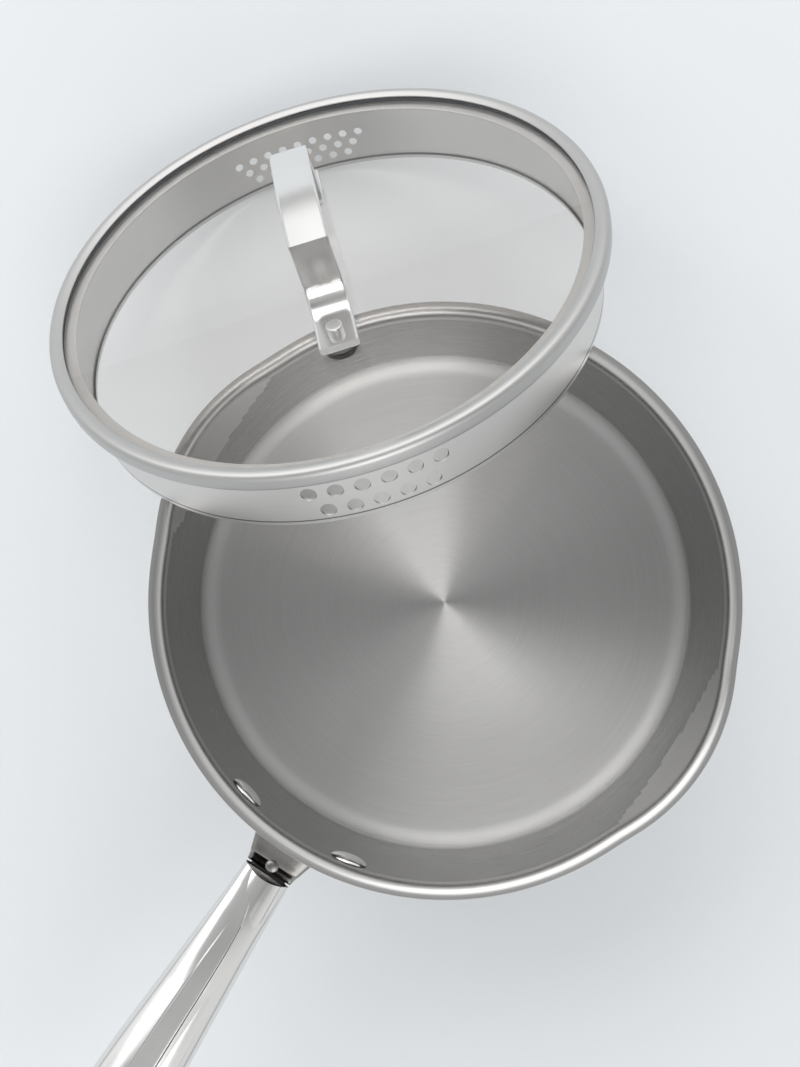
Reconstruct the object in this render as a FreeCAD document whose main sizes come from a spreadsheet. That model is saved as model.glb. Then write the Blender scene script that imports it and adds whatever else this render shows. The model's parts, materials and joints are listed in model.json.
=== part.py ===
"""Stainless saucepan with two pouring spouts and a straining glass lid.

The pan stands on the table with its axis on Z and its long handle along +X.
The lid leans against the pan: the lowest edge of its straining band is on the
table and the hem of the band rests on the lip of the pan at two points.
Lengths are millimetres and angles are degrees.
"""
import FreeCAD, Part
import math
import os

import Sketcher

SIZES = {
    # pan shell
    "pan_radius": 100.0,
    "pan_top": 98.2,
    "pan_sheet": 1.0,
    "floor_top": 6.2,
    "floor_fillet": 7.5,
    "lip_reach": 5.6,
    # pouring spouts, each a cone whose axis stands off the pan's axis
    "spout_offset": 36.7,
    "spout_rise": 3.4,
    "spout_start": 60.0,
    "spout_tuck": 0.6,
    # bonded base
    "base_radius": 89.7,
    "cap_sheet": 0.7,
    "cap_edge": 1.5,
    "core_gap": 0.1,
    # handle bracket and rivets
    "rivet_level": 86.0,
    "rivet_angle": 12.75,
    "rivet_shank": 3.0,
    "rivet_head": 6.85,
    "rivet_dome": 2.3,
    "rivet_tail": 6.0,
    "flange_angle": 17.5,
    "flange_sheet": 2.0,
    "flange_low": 75.0,
    "flange_high": 92.6,
    "fit_gap": 0.05,
    "pin_place": 114.0,
    "pin_radius": 2.9,
    "pin_dome": 1.5,
    "pin_seat": 87.35,
    # hollow grip, drawn in its own frame from the mouth outwards
    "grip_start": 117.9,
    "grip_level": 83.2,
    "grip_slope": 5.7,
    "grip_span": 180.0,
    "grip_sheet": 1.0,
    "hang_place": 165.0,
    "hang_radius": 5.0,
    # lid ring, glass and seal, above the plane that sits on the lip
    "ring_radius": 106.1,
    "ring_depth": 6.6,
    "ring_sheet": 0.8,
    "ring_mouth": 100.4,
    "ring_fall": 0.5,
    "ring_ledge": 96.2,
    "glass_radius": 103.0,
    "glass_sheet": 4.0,
    "seal_mouth": 97.2,
    "seal_gap": 0.2,
    # straining band below the ring
    "band_radius": 99.6,
    "band_sheet": 0.8,
    "band_depth": 25.0,
    "hem_width": 0.7,
    "hem_depth": 1.6,
    "large_hole": 2.9,
    "large_step": 5.38,
    "large_upper": -10.4,
    "large_lower": -19.0,
    "small_hole": 1.65,
    "small_step": 3.76,
    "small_upper": -10.3,
    "small_pitch": 4.5,
    # lid handle
    "strap_width": 14.5,
    "strap_sheet": 3.0,
    "strap_edge": 1.1,
    "strap_foot": 53.0,
    "strap_bend": 34.0,
    "strap_shoulder": 25.5,
    "strap_top": 36.6,
    "strap_crown": 37.8,
    "strap_toe": 14.0,
    "strap_foot_bend": 5.0,
    "strap_shoulder_bend": 7.0,
    "strap_arch": 240.0,
    "stud_place": 44.5,
    "stud_radius": 2.95,
    "stud_shank": 2.6,
    "stud_proud": 3.0,
    "stud_tail": 5.0,
    "washer_radius": 7.1,
    "washer_sheet": 1.8,
    "pad_sheet": 1.0,
    "backing_sheet": 0.8,
    "backing_radius": 6.5,
    # how the lid leans
    "lean_tilt": 39.4,
    "lean_azimuth": -127.8,
    "lean_spin": -3.8,
    "lean_gap": 0.3,
    "spout_contact": 108.27,
    "round_contact": 106.16,
}

WHOLE_TURN = 360.0
HALF_TURN = 180.0
# share of a section's half size where the rounding of its corner begins
NECK_ROUNDING = 0.45
GRIP_FLAT_TOP = 0.62
GRIP_FLAT_SIDE = 0.30
GRIP_SECTIONS = (
    # place along the grip, half width, half height
    (0.0, 9.0, 6.4),
    (18.0, 10.2, 7.0),
    (48.0, 12.2, 8.0),
    (84.0, 14.5, 8.7),
    (125.0, 15.4, 8.4),
    (180.0, 13.2, 6.4),
)
NECK_SECTIONS = (
    # place, half width, half height, centre height
    (102.2, 13.9, 6.8, 82.2),
    (106.0, 12.4, 6.0, 82.2),
    (109.8, 11.1, 5.2, 82.3),
    (113.6, 10.0, 4.6, 82.6),
    (117.1, 9.2, 4.1, 83.0),
)
TANG_SECTIONS = (
    (112.0, 7.3, 3.5, 82.5),
    (120.0, 7.2, 3.45, 83.3),
    (128.0, 7.0, 3.35, 84.1),
    (136.0, 6.7, 3.25, 84.9),
    (144.0, 6.4, 3.15, 85.7),
)

document = FreeCAD.newDocument("saucepan")
sheet = document.addObject("Spreadsheet::Sheet", "Sizes")
for row, (alias, number) in enumerate(SIZES.items(), start=1):
    sheet.set(f"A{row}", alias)
    sheet.set(f"B{row}", str(number))
    sheet.setAlias(f"B{row}", alias)
document.recompute()


class Size:
    """A length that knows its value and the formula that gives it in the sheet."""

    def __init__(self, value, text):
        self.value = value
        self.text = text

    def joined(self, other, sign, value):
        return Size(value, f"({self.text} {sign} {as_size(other).text})")

    def __add__(self, other):
        return self.joined(other, "+", self.value + as_size(other).value)

    def __sub__(self, other):
        return self.joined(other, "-", self.value - as_size(other).value)

    def __mul__(self, other):
        return self.joined(other, "*", self.value * as_size(other).value)

    def __truediv__(self, other):
        return self.joined(other, "/", self.value / as_size(other).value)

    def __neg__(self):
        return Size(-self.value, f"(-{self.text})")


def as_size(number):
    """Turn a plain number into a Size and leave a Size alone."""
    if isinstance(number, Size):
        return number
    return Size(float(number), f"{number}")


def size(alias):
    """The Size that the sheet keeps under this alias."""
    return Size(float(sheet.get(alias)), f"Sizes.{alias}")


def cosine(angle):
    return Size(math.cos(math.radians(angle.value)), f"cos({angle.text} * 1 deg)")


def sine(angle):
    return Size(math.sin(math.radians(angle.value)), f"sin({angle.text} * 1 deg)")


# ---------------------------------------------------------------- sketch tools

def origin_plane(body, role):
    """One of the three planes of a body's own origin."""
    for feature in body.Origin.OriginFeatures:
        if feature.Role == role:
            return feature
    raise ValueError(role)


def arc_between(start, end, radius):
    """The short arc from start to end: anticlockwise when radius is positive."""
    turn = math.copysign(1.0, radius)
    middle = (start + end) * 0.5
    chord = end - start
    across = FreeCAD.Vector(-chord.y, chord.x, 0.0)
    half = chord.Length / 2.0
    reach = math.sqrt(max(radius * radius - half * half, 0.0))
    centre = middle + across.normalize() * (turn * reach)
    first, last = (start, end) if turn > 0 else (end, start)
    circle = Part.Circle(centre, FreeCAD.Vector(0.0, 0.0, 1.0), abs(radius))
    from_angle = math.atan2(first.y - centre.y, first.x - centre.x)
    to_angle = math.atan2(last.y - centre.y, last.x - centre.x)
    if to_angle < from_angle:
        to_angle += 2.0 * math.pi
    return Part.ArcOfCircle(circle, from_angle, to_angle)


def place_sketch(body, name, role, offset):
    sketch = body.newObject("Sketcher::SketchObject", name)
    sketch.AttachmentSupport = [(origin_plane(body, role), "")]
    sketch.MapMode = "FlatFace"
    sketch.AttachmentOffset = offset
    return sketch


def pin_down(sketch, geometry, end, corner):
    """Hold one end of one line or arc at its sizes in the sheet."""
    axes = (("DistanceX", -2), ("DistanceY", -1))
    for coordinate, (kind, axis) in zip(corner, axes):
        length = as_size(coordinate)
        if length.value == 0.0:
            sketch.addConstraint(Sketcher.Constraint("PointOnObject", geometry, end, axis))
            continue
        rule = Sketcher.Constraint(kind, -1, 1, geometry, end, length.value)
        number = sketch.addConstraint(rule)
        if "Sizes." in length.text:
            sketch.setExpression(f"Constraints[{number}]", length.text)


def draw(body, name, role, corners, offset=FreeCAD.Placement(), closed=True):
    """Sketch an outline through corners (x, y) or (x, y, radius of the arc that follows)."""
    sketch = place_sketch(body, name, role, offset)
    points = [FreeCAD.Vector(as_size(c[0]).value, as_size(c[1]).value, 0.0) for c in corners]
    count = len(corners) if closed else len(corners) - 1
    ends = []
    for index in range(count):
        start, end = points[index], points[(index + 1) % len(points)]
        if len(corners[index]) > 2:
            radius = as_size(corners[index][2])
            geometry = sketch.addGeometry(arc_between(start, end, radius.value), False)
            ends.append((geometry, 1, 2) if radius.value > 0 else (geometry, 2, 1))
            rule = Sketcher.Constraint("Radius", geometry, abs(radius.value))
            number = sketch.addConstraint(rule)
            if "Sizes." in radius.text:
                sign = "" if radius.value > 0 else "-"
                sketch.setExpression(f"Constraints[{number}]", f"{sign}({radius.text})")
        else:
            geometry = sketch.addGeometry(Part.LineSegment(start, end), False)
            ends.append((geometry, 1, 2))
    for index, (geometry, first, last) in enumerate(ends):
        pin_down(sketch, geometry, first, corners[index])
        if closed or index + 1 < count:
            following = ends[(index + 1) % count]
            meet = Sketcher.Constraint("Coincident", geometry, last, following[0], following[1])
            sketch.addConstraint(meet)
        else:
            pin_down(sketch, geometry, last, corners[index + 1])
    document.recompute()
    return sketch


def draw_circles(body, name, role, circles, offset=FreeCAD.Placement()):
    """Sketch circles given as (x, y, radius)."""
    sketch = place_sketch(body, name, role, offset)
    for x, y, radius in circles:
        centre = FreeCAD.Vector(as_size(x).value, as_size(y).value, 0.0)
        circle = Part.Circle(centre, FreeCAD.Vector(0.0, 0.0, 1.0), radius.value)
        geometry = sketch.addGeometry(circle, False)
        pin_down(sketch, geometry, 3, (x, y))
        rule = Sketcher.Constraint("Radius", geometry, radius.value)
        sketch.setExpression(f"Constraints[{sketch.addConstraint(rule)}]", radius.text)
    document.recompute()
    return sketch


def shifted(x=0.0, y=0.0, z=0.0):
    return FreeCAD.Placement(FreeCAD.Vector(x, y, z), FreeCAD.Rotation())


# --------------------------------------------------------------- feature tools

def new_body(label):
    body = document.addObject("PartDesign::Body", label)
    body.Label = label
    return body


def grown(body, kind, name, sketch, **settings):
    """Add a feature and check that it changes the volume in the direction its kind should."""
    before = body.Shape.Volume if body.Tip else 0.0
    feature = body.newObject(f"PartDesign::{kind}", name)
    feature.Profile = sketch
    for key, value in settings.items():
        if isinstance(value, Size):
            feature.setExpression(key, value.text)
        else:
            setattr(feature, key, value)
    document.recompute()
    after = body.Shape.Volume
    cuts = kind in ("Groove", "Pocket", "SubtractiveLoft")
    changed = before - after if cuts else after - before
    if changed <= 0.0:
        raise ValueError(f"{name} of {body.Label} changes nothing")
    return feature


def revolve(body, name, sketch, kind="Revolution"):
    return grown(body, kind, name, sketch, ReferenceAxis=(sketch, ["V_Axis"]), Angle=WHOLE_TURN)


def turned(label, corners):
    """A body turned about its own Z axis from one half section."""
    body = new_body(label)
    revolve(body, "Turned", draw(body, "Section", "XZ_Plane", corners))
    return body


def loft(body, name, sketches, kind="AdditiveLoft"):
    return grown(body, kind, name, sketches[0], Sections=sketches[1:], Ruled=False)


def drilled(label, base, drills):
    """Cut drills, given as (radius, length, placement), out of a body."""
    tools = []
    for index, (radius, length, placement) in enumerate(drills, start=1):
        tool = document.addObject("Part::Cylinder", f"{label}_drill_{index}")
        tool.setExpression("Radius", radius.text)
        tool.Height = length
        tool.Placement = placement
        tools.append(tool)
    fused = document.addObject("Part::MultiFuse", f"{label}_drills")
    fused.Shapes = tools
    cut = document.addObject("Part::Cut", f"{label}_drilled")
    cut.Base = base
    cut.Tool = fused
    base.Label = f"{label}_blank"
    cut.Label = label
    document.recompute()
    return cut


# ------------------------------------------------------------------------- pan

def outer_section(foot, wall):
    """Half section of the solid shape: the foot's corners, then a wall that flares out."""
    top, flare, thick = size("pan_top"), size("lip_reach"), size("pan_sheet")
    return [
        *foot,
        (wall + thick, top - flare, thick - flare),
        (wall + flare, top - thick),
        (wall + flare, top),
        (0.0, top),
    ]


def inner_section(foot, wall):
    """Half section of the hollow, carried a little past the top of the lip."""
    top, flare = size("pan_top"), size("lip_reach")
    past = top + 1.0
    return [
        *foot,
        (wall, top - flare, -flare),
        (wall + flare, top),
        (wall + flare, past),
        (0.0, past),
    ]


def pan_body():
    """The drawn shell: floor, wall, flared lip and the two spouts pressed out of it."""
    body = new_body("pan_body")
    radius, thick = size("pan_radius"), size("pan_sheet")
    floor, fillet = size("floor_top"), size("floor_fillet")
    under = floor - thick
    shell = outer_section([
        (0.0, under),
        (radius - fillet, under, fillet + thick),
        (radius + thick, floor + fillet),
    ], radius)
    hollow = inner_section([
        (0.0, floor),
        (radius - fillet, floor, fillet),
        (radius, floor + fillet),
    ], radius)

    # a spout is a cone whose axis stands off the pan's axis, so it fades into the wall
    offset, low = size("spout_offset"), size("spout_start")
    mouth = radius + size("spout_rise") - offset
    throat = radius - size("spout_tuck") - offset
    spout = outer_section([(0.0, low), (throat + thick, low)], mouth)
    spout_hollow = inner_section([(0.0, low), (throat, low)], mouth)
    places = [shifted(x=side * offset.value) for side in (1, -1)]

    revolve(body, "Shell", draw(body, "ShellSection", "XZ_Plane", shell))
    for side, place in enumerate(places, start=1):
        section = draw(body, f"SpoutSection{side}", "YZ_Plane", spout, place)
        revolve(body, f"Spout{side}", section)
    revolve(body, "Hollow", draw(body, "HollowSection", "XZ_Plane", hollow), "Groove")
    for side, place in enumerate(places, start=1):
        section = draw(body, f"ThroatSection{side}", "YZ_Plane", spout_hollow, place)
        revolve(body, f"Throat{side}", section, "Groove")
    return drilled("pan_body", body, rivet_drills())


def rivet_placement(side):
    """Frame of a handle rivet: Z runs outwards through the wall, from the pan's axis."""
    angle = side * size("rivet_angle").value
    spin = FreeCAD.Rotation(FreeCAD.Vector(0, 0, 1), angle)
    outwards = FreeCAD.Rotation(FreeCAD.Vector(0, 1, 0), 90.0)
    return FreeCAD.Placement(FreeCAD.Vector(0, 0, size("rivet_level").value), spin * outwards)


def rivet_drills():
    """Two radial holes through the wall and the flange, on the handle's side only."""
    past_flange = 120.0
    return [(size("rivet_shank"), past_flange, rivet_placement(side)) for side in (1, -1)]


def base_core():
    """Aluminium disc that spreads the heat."""
    rim = size("base_radius") - size("cap_sheet") - size("core_gap")
    low = size("cap_sheet")
    high = size("floor_top") - size("pan_sheet")
    return turned("base_core", [
        (0.0, low),
        (rim - size("cap_edge"), low),
        (rim, low + size("cap_edge")),
        (rim, high),
        (0.0, high),
    ])


def base_cap():
    """Pressed steel cup under the core."""
    rim = size("base_radius")
    thick = size("cap_sheet")
    edge = size("cap_edge")
    high = size("floor_top") - size("pan_sheet")
    return turned("base_cap", [
        (0.0, 0.0),
        (rim - edge, 0.0, edge),
        (rim, edge),
        (rim, high),
        (rim - thick, high),
        (rim - thick, edge, thick - edge),
        (rim - edge, thick),
        (0.0, thick),
    ])


# ---------------------------------------------------------------- handle parts

def rounded_section(half_width, half_height, corner, centre=0.0):
    """Corners of a rounded rectangle, anticlockwise from the lower right side."""
    wide, tall = half_width, half_height
    return [
        (wide, centre - tall + corner),
        (wide, centre + tall - corner, corner),
        (wide - corner, centre + tall),
        (corner - wide, centre + tall, corner),
        (-wide, centre + tall - corner),
        (-wide, centre - tall + corner, corner),
        (corner - wide, centre - tall),
        (wide - corner, centre - tall, corner),
    ]


def handle_bracket():
    """Curved flange on the wall, a neck up to the grip, and a narrower tang inside the grip."""
    body = new_body("handle_bracket")
    inside = size("pan_radius") + size("pan_sheet") + size("fit_gap")
    outside = inside + size("flange_sheet")
    across, along = sine(size("flange_angle")), cosine(size("flange_angle"))
    flange = draw(body, "FlangeSection", "XY_Plane", [
        (outside * along, -(outside * across), outside),
        (outside * along, outside * across),
        (inside * along, inside * across, -inside),
        (inside * along, -(inside * across)),
    ], shifted(z=size("flange_low").value))
    grown(body, "Pad", "Flange", flange, Length=size("flange_high") - size("flange_low"))
    for name, stations in (("Neck", NECK_SECTIONS), ("Tang", TANG_SECTIONS)):
        sections = []
        for index, (place, wide, tall, level) in enumerate(stations, start=1):
            corners = rounded_section(wide, tall, NECK_ROUNDING * tall, level)
            label = f"{name}Section{index}"
            sections.append(draw(body, label, "YZ_Plane", corners, shifted(z=place)))
        loft(body, name, sections)
    return drilled("handle_bracket", body, rivet_drills())


def bracket_pin():
    """Small domed pin on top of the neck, just inside the mouth of the grip."""
    radius, dome = size("pin_radius"), size("pin_dome")
    side = 0.3
    bend = (radius * radius + dome * dome) / (dome * 2.0)
    pin = turned("bracket_pin", [
        (0.0, 0.0),
        (radius, 0.0),
        (radius, side, bend),
        (0.0, dome + side),
    ])
    pin.Placement = shifted(x=size("pin_place").value, z=size("pin_seat").value)
    return pin


def handle_rivet(label, side):
    """Domed head inside the pan, shank through wall and flange, flat tail outside."""
    wall = size("pan_radius")
    seat = wall - 0.3
    head, dome = size("rivet_head"), size("rivet_dome")
    crown, crown_bend = head * 0.45, 12.0
    flange = wall + size("pan_sheet") + size("fit_gap") + size("flange_sheet")
    shank = size("rivet_shank") - size("fit_gap")
    tail, tail_high, tail_edge = size("rivet_tail"), 1.4, 0.7
    rivet = turned(label, [
        (0.0, seat - dome),
        (crown, seat - dome * 0.86, crown_bend),
        (head, seat - 0.5),
        (head, seat),
        (shank, seat),
        (shank, flange),
        (tail, flange),
        (tail - tail_edge, flange + tail_high),
        (0.0, flange + tail_high),
    ])
    rivet.Placement = rivet_placement(side)
    return rivet


def half_section(wide, tall, upper):
    """Upper or lower half of the grip's oval section, closed along its middle."""
    shoulder = GRIP_FLAT_TOP * wide
    side = GRIP_FLAT_SIDE * tall
    bulge = ((wide - shoulder) ** 2 + (tall - side) ** 2) / (2.0 * (tall - side))
    if upper:
        return [(wide, 0.0), (wide, side, bulge), (shoulder, tall), (-shoulder, tall, bulge),
                (-wide, side), (-wide, 0.0)]
    return [(-wide, 0.0), (-wide, -side, bulge), (-shoulder, -tall), (shoulder, -tall, bulge),
            (wide, -side), (wide, 0.0)]


def grip_placement():
    start = FreeCAD.Vector(size("grip_start").value, 0.0, size("grip_level").value)
    return FreeCAD.Placement(start, FreeCAD.Rotation(FreeCAD.Vector(0, 1, 0), -size("grip_slope").value))


def grip_shell(label, upper):
    """One polished half of the grip: hollow from the mouth, solid at the hanging end."""
    body = new_body(label)
    thick = size("grip_sheet").value
    outer = []
    inner = []
    for index, (place, wide, tall) in enumerate(GRIP_SECTIONS, start=1):
        corners = half_section(wide, tall, upper)
        outer.append(draw(body, f"Outer{index}", "YZ_Plane", corners, shifted(z=place)))
    loft(body, "Skin", outer)
    for index, (place, wide, tall) in enumerate(GRIP_SECTIONS[:-1], start=1):
        corners = half_section(wide - thick, tall - thick, upper)
        inner.append(draw(body, f"Inner{index}", "YZ_Plane", corners, shifted(z=place)))
    loft(body, "Cavity", inner, "SubtractiveLoft")
    round_end(body, upper)
    body.Placement = grip_placement()
    return body


def round_end(body, upper):
    """Round the hanging end in plan and drill the hole that the grip hangs by."""
    span = size("grip_span")
    straight_end = GRIP_SECTIONS[-2][0] + 20.0
    reach = 2.0 * GRIP_SECTIONS[-2][2]
    beyond = 40.0
    bend = GRIP_SECTIONS[-1][1] + 0.6
    waste = draw(body, "EndOutline", "XY_Plane", [
        (straight_end, -beyond),
        (span + beyond, -beyond),
        (span + beyond, beyond),
        (straight_end, beyond),
        (straight_end, bend + 2.4),
        (span - bend, bend, -bend),
        (span, 0.0, -bend),
        (span - bend, -bend),
        (straight_end, -bend - 2.4),
    ])
    grown(body, "Pocket", "RoundEnd", waste, Length=reach, Reversed=upper)
    hole = draw_circles(body, "HangingCircle", "XY_Plane",
                        [(size("hang_place"), 0.0, size("hang_radius"))])
    grown(body, "Pocket", "HangingHole", hole, Length=reach, Reversed=upper)


# ------------------------------------------------------------------- lid parts

def lean_placement():
    """Where the lid leans: the band's edge on the table, its hem on the lip at two points."""
    tilt = math.radians(size("lean_tilt").value)
    band = size("band_radius").value
    hem = (size("band_radius") - size("band_sheet") - size("hem_width")).value
    depth = size("band_depth").value
    level = size("lean_gap").value + depth * math.cos(tilt) + band * math.sin(tilt)
    drop = level - depth * math.cos(tilt) - size("pan_top").value
    forward = drop / (hem * math.sin(tilt))
    sideways = hem * math.sqrt(1.0 - forward * forward)
    back = hem * forward * math.cos(tilt) - depth * math.sin(tilt)
    # the centre stands at known distances from the two contact points
    near, far = size("spout_contact").value, size("round_contact").value
    across = (near * near - far * far) / (4.0 * sideways)
    along = math.sqrt(near * near - (sideways + across) ** 2) - back
    azimuth = FreeCAD.Rotation(FreeCAD.Vector(0, 0, 1), size("lean_azimuth").value)
    lean = FreeCAD.Rotation(FreeCAD.Vector(0, 1, 0), size("lean_tilt").value)
    spin = FreeCAD.Rotation(FreeCAD.Vector(0, 0, 1), size("lean_spin").value)
    centre = azimuth.multVec(FreeCAD.Vector(along, across, level))
    return FreeCAD.Placement(centre, azimuth * lean * spin)


def lid_rim():
    """Rolled steel channel that holds the edge of the glass."""
    rim, deep, thick = size("ring_radius"), size("ring_depth"), size("ring_sheet")
    mouth, fall = size("ring_mouth"), size("ring_fall")
    edge = 0.8
    return turned("lid_rim", [
        (size("ring_ledge"), 0.0),
        (rim - edge, 0.0, edge),
        (rim, edge),
        (rim, deep - edge, edge),
        (rim - edge, deep),
        (mouth, deep - fall),
        (mouth, deep - fall - thick),
        (rim - thick, deep - fall - thick),
        (rim - thick, thick),
        (size("ring_ledge"), thick),
    ])


def glass_top():
    """Upper face of the glass, against the underside of the ring's inner edge."""
    return size("ring_depth") - size("ring_fall") - size("ring_sheet")


def lid_glass():
    """Flat tempered disc with a ground edge and two holes for the studs."""
    top = glass_top()
    low = top - size("glass_sheet")
    rim = size("glass_radius")
    edge = 0.5
    disc = turned("lid_glass", [
        (0.0, low),
        (rim - edge, low),
        (rim, low + edge),
        (rim, top - edge),
        (rim - edge, top),
        (0.0, top),
    ])
    hole = size("stud_shank") + 0.8
    holes = draw_circles(disc, "StudCircles", "XY_Plane", [
        (size("stud_place"), 0.0, hole),
        (-size("stud_place"), 0.0, hole),
    ])
    grown(disc, "Pocket", "StudHoles", holes, Length=50.0, Midplane=True)
    return disc


def glass_seal():
    """Silicone ring between the edge of the glass and the channel."""
    gap = size("seal_gap")
    inside = size("glass_radius") + gap
    outside = size("ring_radius") - size("ring_sheet") - gap
    low = size("ring_sheet") + gap
    top = glass_top() - gap
    shelf = glass_top() - size("glass_sheet") - gap
    return turned("glass_seal", [
        (size("seal_mouth"), low),
        (outside, low),
        (outside, top),
        (inside, top),
        (inside, shelf),
        (size("seal_mouth"), shelf),
    ])


def hole_row(body, name, radius, level, middle, step, count):
    """A row of radial holes: one pocket, and a pattern about the lid's axis."""
    first = middle - step * (count - 1) / 2.0
    turn = FreeCAD.Rotation(FreeCAD.Vector(0, 1, 0), first)
    circle = draw_circles(body, f"{name}Circle", "YZ_Plane", [(0.0, level, radius)],
                          FreeCAD.Placement(FreeCAD.Vector(), turn))
    reach = 2.0 * size("band_radius").value
    pocket = grown(body, "Pocket", f"{name}Hole", circle, Length=reach, Reversed=True)
    pattern = body.newObject("PartDesign::PolarPattern", f"{name}Row")
    pattern.Originals = [pocket]
    pattern.Axis = (origin_axis(body), [""])
    pattern.Angle = step * (count - 1)
    pattern.Occurrences = count
    body.Tip = pattern
    document.recompute()


def origin_axis(body):
    for feature in body.Origin.OriginFeatures:
        if feature.Role == "Z_Axis":
            return feature
    raise ValueError("Z_Axis")


def strainer_band():
    """Steel band under the ring: large holes on one side, small ones on the other."""
    rim, thick, deep = size("band_radius"), size("band_sheet"), size("band_depth")
    hem = size("hem_width")
    band = turned("strainer_band", [
        (rim - thick, 0.0),
        (rim - thick, size("hem_depth") - deep),
        (rim - thick - hem, size("hem_depth") - deep),
        (rim - thick - hem, -deep),
        (rim, -deep),
        (rim, 0.0),
    ])
    step = size("large_step").value
    hole_row(band, "LargeUpper", size("large_hole"), size("large_upper"), HALF_TURN, step, 6)
    hole_row(band, "LargeLower", size("large_hole"), size("large_lower"), HALF_TURN, step, 5)
    step = size("small_step").value
    for index, count in enumerate((9, 8, 7)):
        level = size("small_upper") - size("small_pitch") * index
        hole_row(band, f"Small{index + 1}", size("small_hole"), level, 0.0, step, count)
    return band


def strap_path():
    """Centre line of the handle: foot, leg, crowned top, leg, foot."""
    foot = glass_top() + size("washer_sheet") + size("strap_sheet") / 2.0
    half = [
        (size("strap_foot").value, foot.value, 0.0),
        (size("strap_bend").value, foot.value, size("strap_foot_bend").value),
        (size("strap_shoulder").value, size("strap_top").value, size("strap_shoulder_bend").value),
    ]
    crown = [(0.0, size("strap_crown").value, size("strap_arch").value)]
    return [(-x, z, bend) for x, z, bend in half] + crown + half[::-1]


def rounded_route(points):
    """Replace each inner point (x, z, radius) by an arc tangent to its two runs."""
    route = []
    for index, (x, z, bend) in enumerate(points):
        here = FreeCAD.Vector(x, z, 0.0)
        if index in (0, len(points) - 1):
            route.append((x, z))
            continue
        before = FreeCAD.Vector(points[index - 1][0], points[index - 1][1], 0.0)
        after = FreeCAD.Vector(points[index + 1][0], points[index + 1][1], 0.0)
        coming = (here - before).normalize()
        going = (after - here).normalize()
        turn = coming.getAngle(going)
        cut = bend * math.tan(turn / 2.0)
        left = coming.cross(going).z > 0.0
        start = here - coming * cut
        end = here + going * cut
        route.append((start.x, start.y, bend if left else -bend))
        route.append((end.x, end.y))
    return route


def lid_handle():
    """Polished strap with rounded edges, arched over the glass between its two feet."""
    body = new_body("lid_handle")
    route = rounded_route(strap_path())
    spine = draw(body, "StrapPath", "XZ_Plane", route, closed=False)
    half_width, half_sheet = size("strap_width") / 2.0, size("strap_sheet") / 2.0
    corners = rounded_section(half_width, half_sheet, size("strap_edge"), as_size(route[0][1]))
    section = draw(body, "StrapSection", "YZ_Plane", corners, shifted(z=route[0][0]))
    grown(body, "AdditivePipe", "Strap", section, Spine=spine)
    place, wide = size("stud_place"), half_width.value
    toe, foot = size("strap_toe").value, size("strap_foot").value
    corner = foot - (toe - math.sqrt(toe * toe - wide * wide))
    past, aside = foot + 5.0, wide * 1.3
    for index, side in enumerate((1, -1), start=1):
        outline = draw(body, f"Toe{index}", "XY_Plane", [
            (side * corner, -side * aside),
            (side * past, -side * aside),
            (side * past, side * aside),
            (side * corner, side * aside),
            (side * corner, side * wide, -toe),
            (side * corner, -side * wide),
        ])
        grown(body, "Pocket", f"ToeCut{index}", outline, Length=100.0, Midplane=True)
    holes = draw_circles(body, "StudCircles", "XY_Plane", [
        (place, 0.0, size("stud_shank") + size("fit_gap")),
        (-place, 0.0, size("stud_shank") + size("fit_gap")),
    ])
    grown(body, "Pocket", "StudHoles", holes, Length=100.0, Midplane=True)
    return body


def stud_levels():
    """Heights of the faces that the stud passes, from its tail to the top of the strap."""
    glass_high = glass_top()
    glass_low = glass_high - size("glass_sheet")
    pad_low = glass_low - size("pad_sheet")
    backing_low = pad_low - size("backing_sheet")
    strap_low = glass_high + size("washer_sheet")
    strap_top = strap_low + size("strap_sheet")
    return backing_low, pad_low, glass_low, glass_high, strap_low, strap_top


def lid_stud(label):
    """Stud through strap and glass, with a plain proud head and a domed tail."""
    backing_low, _, _, _, _, strap_top = stud_levels()
    head, shank, tail = size("stud_radius"), size("stud_shank"), size("stud_tail")
    proud, edge = strap_top + size("stud_proud"), 0.5
    tail_side, tail_bend = backing_low - 1.4, 1.7
    return turned(label, [
        (0.0, tail_side - 0.4),
        (tail - 1.2, tail_side, tail_bend),
        (tail, backing_low),
        (shank, backing_low),
        (shank, strap_top),
        (head, strap_top),
        (head, proud - edge, edge),
        (head - edge, proud),
        (0.0, proud),
    ])


def washer(label, radius, low, high):
    hole = size("stud_shank") + size("fit_gap")
    edge = 0.3
    return turned(label, [
        (hole, low),
        (radius - edge, low),
        (radius, low + edge),
        (radius, high - edge),
        (radius - edge, high),
        (hole, high),
    ])


def stud_stack(end, side):
    """The stud and the washers of one foot of the lid's handle."""
    backing_low, pad_low, glass_low, glass_high, strap_low, _ = stud_levels()
    pieces = [
        lid_stud(f"lid_stud_{end}"),
        washer(f"upper_washer_{end}", size("washer_radius"), glass_high, strap_low),
        washer(f"lower_washer_{end}", size("washer_radius"), pad_low, glass_low),
        washer(f"backing_washer_{end}", size("backing_radius"), backing_low, pad_low),
    ]
    for piece in pieces:
        piece.Placement = shifted(x=side * size("stud_place").value)
    return pieces


# -------------------------------------------------------------------- assembly

def pan_pieces():
    return [
        pan_body(),
        base_core(),
        base_cap(),
        handle_bracket(),
        bracket_pin(),
        handle_rivet("handle_rivet_left", 1),
        handle_rivet("handle_rivet_right", -1),
        grip_shell("handle_upper_shell", True),
        grip_shell("handle_lower_shell", False),
    ]


def lid_pieces():
    pieces = [lid_rim(), lid_glass(), glass_seal(), strainer_band(), lid_handle()]
    pieces += stud_stack("near", -1)
    pieces += stud_stack("far", 1)
    lean = lean_placement()
    for piece in pieces:
        piece.Placement = lean * piece.Placement
    return pieces


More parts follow.
